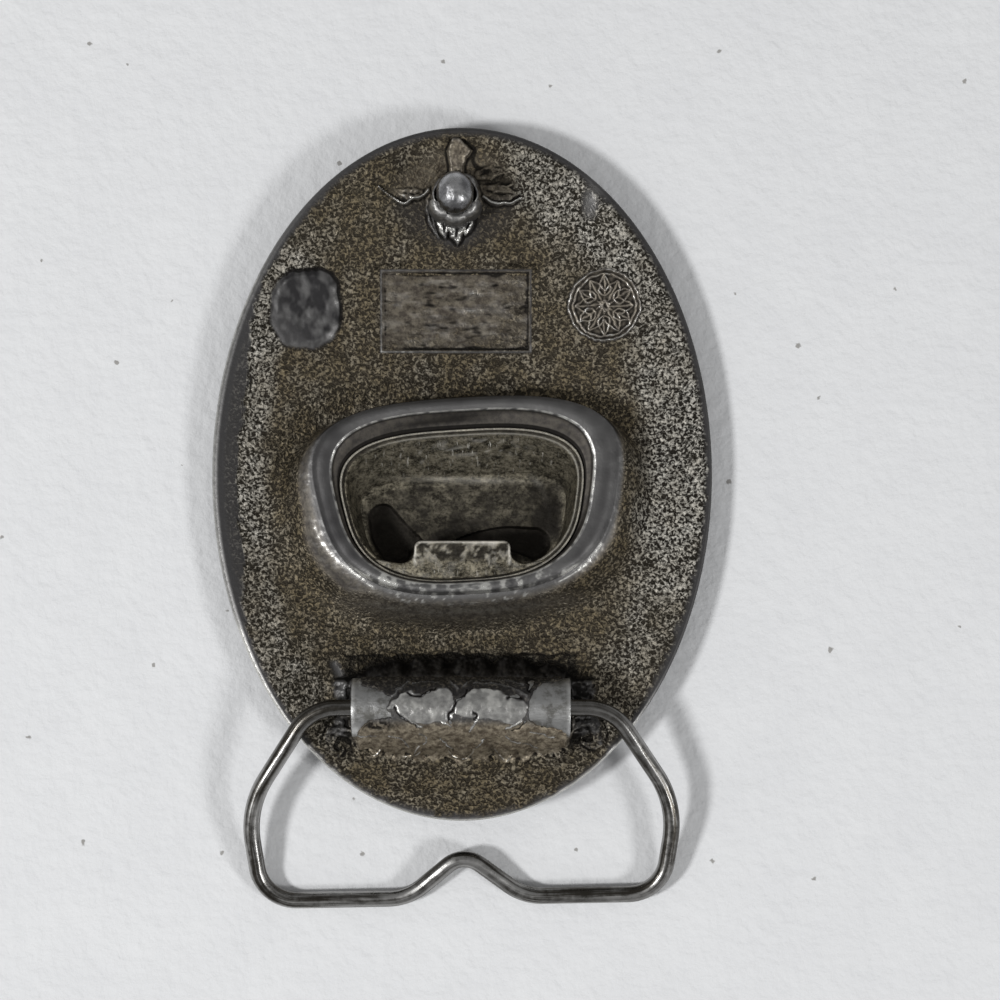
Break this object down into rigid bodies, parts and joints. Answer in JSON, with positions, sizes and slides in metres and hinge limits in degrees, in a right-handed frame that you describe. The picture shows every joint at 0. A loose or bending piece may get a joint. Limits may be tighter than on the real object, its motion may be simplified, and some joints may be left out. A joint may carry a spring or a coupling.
{
  "type": "bottle opener belt buckle",
  "caption": "Oval cast belt buckle, face down: a bottle-cap opener cup in its back, a ball-headed belt stud and a wire bail that swings in a hinge tube.",
  "frame": {"origin": "centre of the flat in the middle of the domed front, on the surface that the buckle lies on, face down", "axes": "+Z out of the back, +Y towards the belt stud, -Y towards the bail, +X to the right as the back is seen with the stud on top"},
  "size_m": [0.064, 0.0997, 0.013],
  "materials": {
    "cast_pewter": "dark patinated pewter casting, pebbled, worn bright on the high places",
    "pressed_steel": "stained pressed steel",
    "drawn_tube": "worn satin",
    "turned_stud": "polished by wear",
    "spring_wire": "drawn wire, rubbed bright"
  },
  "bodies": {
    "buckle": {"plate_casting": "cast_pewter", "opener_cup": "pressed_steel", "hinge_tube": "drawn_tube", "belt_stud": "turned_stud"},
    "bail_loop": {"bail": "spring_wire"}
  },
  "joints": [
    {"name": "bail_swing", "type": "hinge", "parent": "buckle", "child": "bail_loop", "pos_m": [0, -0.0298, 0.0087], "axis": [-1, 0, 0], "range_deg": [-15, 195]}
  ]
}
